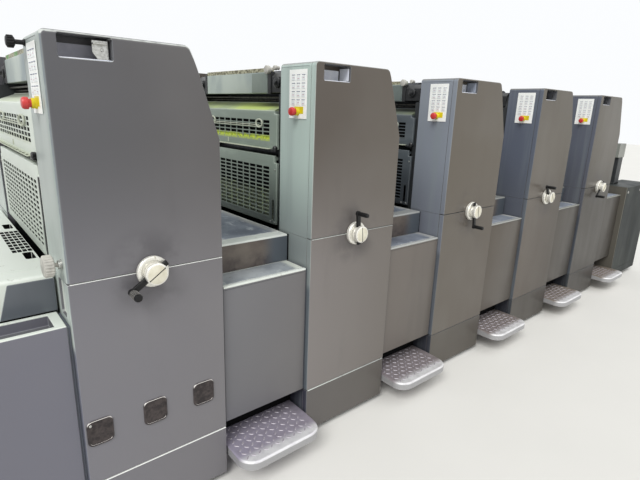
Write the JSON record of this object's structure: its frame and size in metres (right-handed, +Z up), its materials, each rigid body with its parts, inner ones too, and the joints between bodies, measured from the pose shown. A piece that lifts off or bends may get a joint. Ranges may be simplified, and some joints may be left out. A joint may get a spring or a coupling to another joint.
{
  "type": "five-unit sheet-fed offset printing press",
  "caption": "Sheet-fed offset printing press with tall grey printing units, hinged guards, crank handwheels, footboards, feeder and delivery.",
  "frame": {"origin": "on the floor at the middle of the footprint", "axes": "+X along the press from delivery to feeder, +Y from the operator side to the drive side, +Z up"},
  "size_m": [6.178, 1.424, 1.444],
  "materials": {
    "cover_grey": "satin anthracite paint",
    "panel_grey": "satin anthracite paint, scuffed",
    "deck_grey": "worn bluish grey paint",
    "guard_green": "semi-gloss dark green-grey paint",
    "bed_paint": "dull dark paint",
    "frame_iron": "painted casting",
    "cylinder_chrome": "ground and chromed",
    "roller_rubber": "ink-stained rubber",
    "duct_steel": "brushed, ink-stained edge",
    "bracket_black": "black paint",
    "tread_plate": "worn tread plate",
    "panel_white": "matte white",
    "stop_yellow": "gloss yellow",
    "stop_red": "gloss red",
    "collar_silver": "satin turned",
    "plate_black": "dull dark plastic",
    "foot_steel": "plain steel",
    "board_wood": "raw plywood"
  },
  "bodies": {
    "press": {"bed": "bed_paint", "levelling_feet": "foot_steel", "side_frames": "frame_iron", "printing_cylinders": "cylinder_chrome", "ink_rollers": "roller_rubber", "ink_ducts": "duct_steel", "duct_brackets": "bracket_black", "upper_side_covers": "cover_grey", "lower_side_covers": "cover_grey", "kick_panels": "cover_grey", "rear_panels": "guard_green", "drive_upper_covers": "cover_grey", "drive_lower_covers": "cover_grey", "infill_panels": "panel_grey", "unit_decks": "deck_grey", "footboards": "tread_plate", "button_panels": "panel_white", "stop_bases": "stop_yellow", "bearing_collars": "collar_silver", "cover_plates": "plate_black", "delivery_block": "deck_grey", "delivery_panels": "panel_grey", "vented_deck": "deck_grey", "delivery_walls": "cover_grey", "delivery_hood": "cover_grey", "delivery_roof": "cover_grey", "feeder_cabinets": "cover_grey", "feeder_columns": "frame_iron", "feeder_head": "deck_grey", "feed_board": "duct_steel", "pile_boards": "board_wood", "hoist_chains": "foot_steel"},
    "handwheel_1": {"handwheel_1": "collar_silver"},
    "handwheel_2": {"handwheel_2": "collar_silver"},
    "handwheel_3": {"handwheel_3": "collar_silver"},
    "handwheel_4": {"handwheel_4": "collar_silver"},
    "handwheel_5": {"handwheel_5": "collar_silver"},
    "upper_guard_1": {"upper_guard_1": "guard_green"},
    "upper_guard_2": {"upper_guard_2": "guard_green"},
    "upper_guard_3": {"upper_guard_3": "guard_green"},
    "upper_guard_4": {"upper_guard_4": "guard_green"},
    "upper_guard_5": {"upper_guard_5": "guard_green"},
    "lower_guard_1": {"lower_guard_1": "guard_green"},
    "lower_guard_2": {"lower_guard_2": "guard_green"},
    "lower_guard_3": {"lower_guard_3": "guard_green"},
    "lower_guard_4": {"lower_guard_4": "guard_green"},
    "lower_guard_5": {"lower_guard_5": "guard_green"},
    "stop_button_1": {"stop_button_1": "stop_red"},
    "stop_button_2": {"stop_button_2": "stop_red"},
    "stop_button_3": {"stop_button_3": "stop_red"},
    "stop_button_4": {"stop_button_4": "stop_red"},
    "stop_button_5": {"stop_button_5": "stop_red"},
    "side_knob": {"side_knob": "collar_silver"},
    "latch_knob": {"latch_knob": "bracket_black"}
  },
  "joints": [
    {"name": "handwheel_1_turn", "type": "hinge", "parent": "press", "child": "handwheel_1", "pos_m": [-1.221, -0.604, 0.832], "axis": [0, -1, 0], "continuous": true},
    {"name": "handwheel_2_turn", "type": "hinge", "parent": "press", "child": "handwheel_2", "pos_m": [-0.421, -0.604, 0.832], "axis": [0, -1, 0], "continuous": true},
    {"name": "handwheel_3_turn", "type": "hinge", "parent": "press", "child": "handwheel_3", "pos_m": [0.379, -0.604, 0.832], "axis": [0, -1, 0], "continuous": true},
    {"name": "handwheel_4_turn", "type": "hinge", "parent": "press", "child": "handwheel_4", "pos_m": [1.179, -0.604, 0.832], "axis": [0, -1, 0], "continuous": true},
    {"name": "handwheel_5_turn", "type": "hinge", "parent": "press", "child": "handwheel_5", "pos_m": [1.979, -0.604, 0.832], "axis": [0, -1, 0], "continuous": true},
    {"name": "upper_guard_1_hinge", "type": "hinge", "parent": "press", "child": "upper_guard_1", "pos_m": [-1.359, 0.012, 1.306], "axis": [0, 1, 0], "range_deg": [0, 50]},
    {"name": "upper_guard_2_hinge", "type": "hinge", "parent": "press", "child": "upper_guard_2", "pos_m": [-0.559, 0.012, 1.306], "axis": [0, 1, 0], "range_deg": [0, 50]},
    {"name": "upper_guard_3_hinge", "type": "hinge", "parent": "press", "child": "upper_guard_3", "pos_m": [0.241, 0.012, 1.306], "axis": [0, 1, 0], "range_deg": [0, 50]},
    {"name": "upper_guard_4_hinge", "type": "hinge", "parent": "press", "child": "upper_guard_4", "pos_m": [1.041, 0.012, 1.306], "axis": [0, 1, 0], "range_deg": [0, 50]},
    {"name": "upper_guard_5_hinge", "type": "hinge", "parent": "press", "child": "upper_guard_5", "pos_m": [1.841, 0.012, 1.306], "axis": [0, 1, 0], "range_deg": [0, 50]},
    {"name": "lower_guard_1_hinge", "type": "hinge", "parent": "press", "child": "lower_guard_1", "pos_m": [-1.405, 0.012, 1.1], "axis": [0, 1, 0], "range_deg": [0, 75]},
    {"name": "lower_guard_2_hinge", "type": "hinge", "parent": "press", "child": "lower_guard_2", "pos_m": [-0.605, 0.012, 1.1], "axis": [0, 1, 0], "range_deg": [0, 75]},
    {"name": "lower_guard_3_hinge", "type": "hinge", "parent": "press", "child": "lower_guard_3", "pos_m": [0.195, 0.012, 1.1], "axis": [0, 1, 0], "range_deg": [0, 75]},
    {"name": "lower_guard_4_hinge", "type": "hinge", "parent": "press", "child": "lower_guard_4", "pos_m": [0.995, 0.012, 1.1], "axis": [0, 1, 0], "range_deg": [0, 75]},
    {"name": "lower_guard_5_hinge", "type": "hinge", "parent": "press", "child": "lower_guard_5", "pos_m": [1.795, 0.012, 1.1], "axis": [0, 1, 0], "range_deg": [0, 75]},
    {"name": "stop_button_1_push", "type": "slide", "parent": "press", "child": "stop_button_1", "axis": [1, 0, 0], "range_m": [0, 0.0035]},
    {"name": "stop_button_2_push", "type": "slide", "parent": "press", "child": "stop_button_2", "axis": [1, 0, 0], "range_m": [0, 0.0035]},
    {"name": "stop_button_3_push", "type": "slide", "parent": "press", "child": "stop_button_3", "axis": [1, 0, 0], "range_m": [0, 0.0035]},
    {"name": "stop_button_4_push", "type": "slide", "parent": "press", "child": "stop_button_4", "axis": [1, 0, 0], "range_m": [0, 0.0035]},
    {"name": "stop_button_5_push", "type": "slide", "parent": "press", "child": "stop_button_5", "axis": [1, 0, 0], "range_m": [0, 0.0035]},
    {"name": "side_knob_turn", "type": "hinge", "parent": "press", "child": "side_knob", "pos_m": [-1.448, -0.546, 0.88], "axis": [-1, 0, 0], "continuous": true},
    {"name": "latch_knob_turn", "type": "hinge", "parent": "press", "child": "latch_knob", "pos_m": [-1.448, -0.42, 1.424], "axis": [-1, 0, 0], "continuous": true}
  ]
}
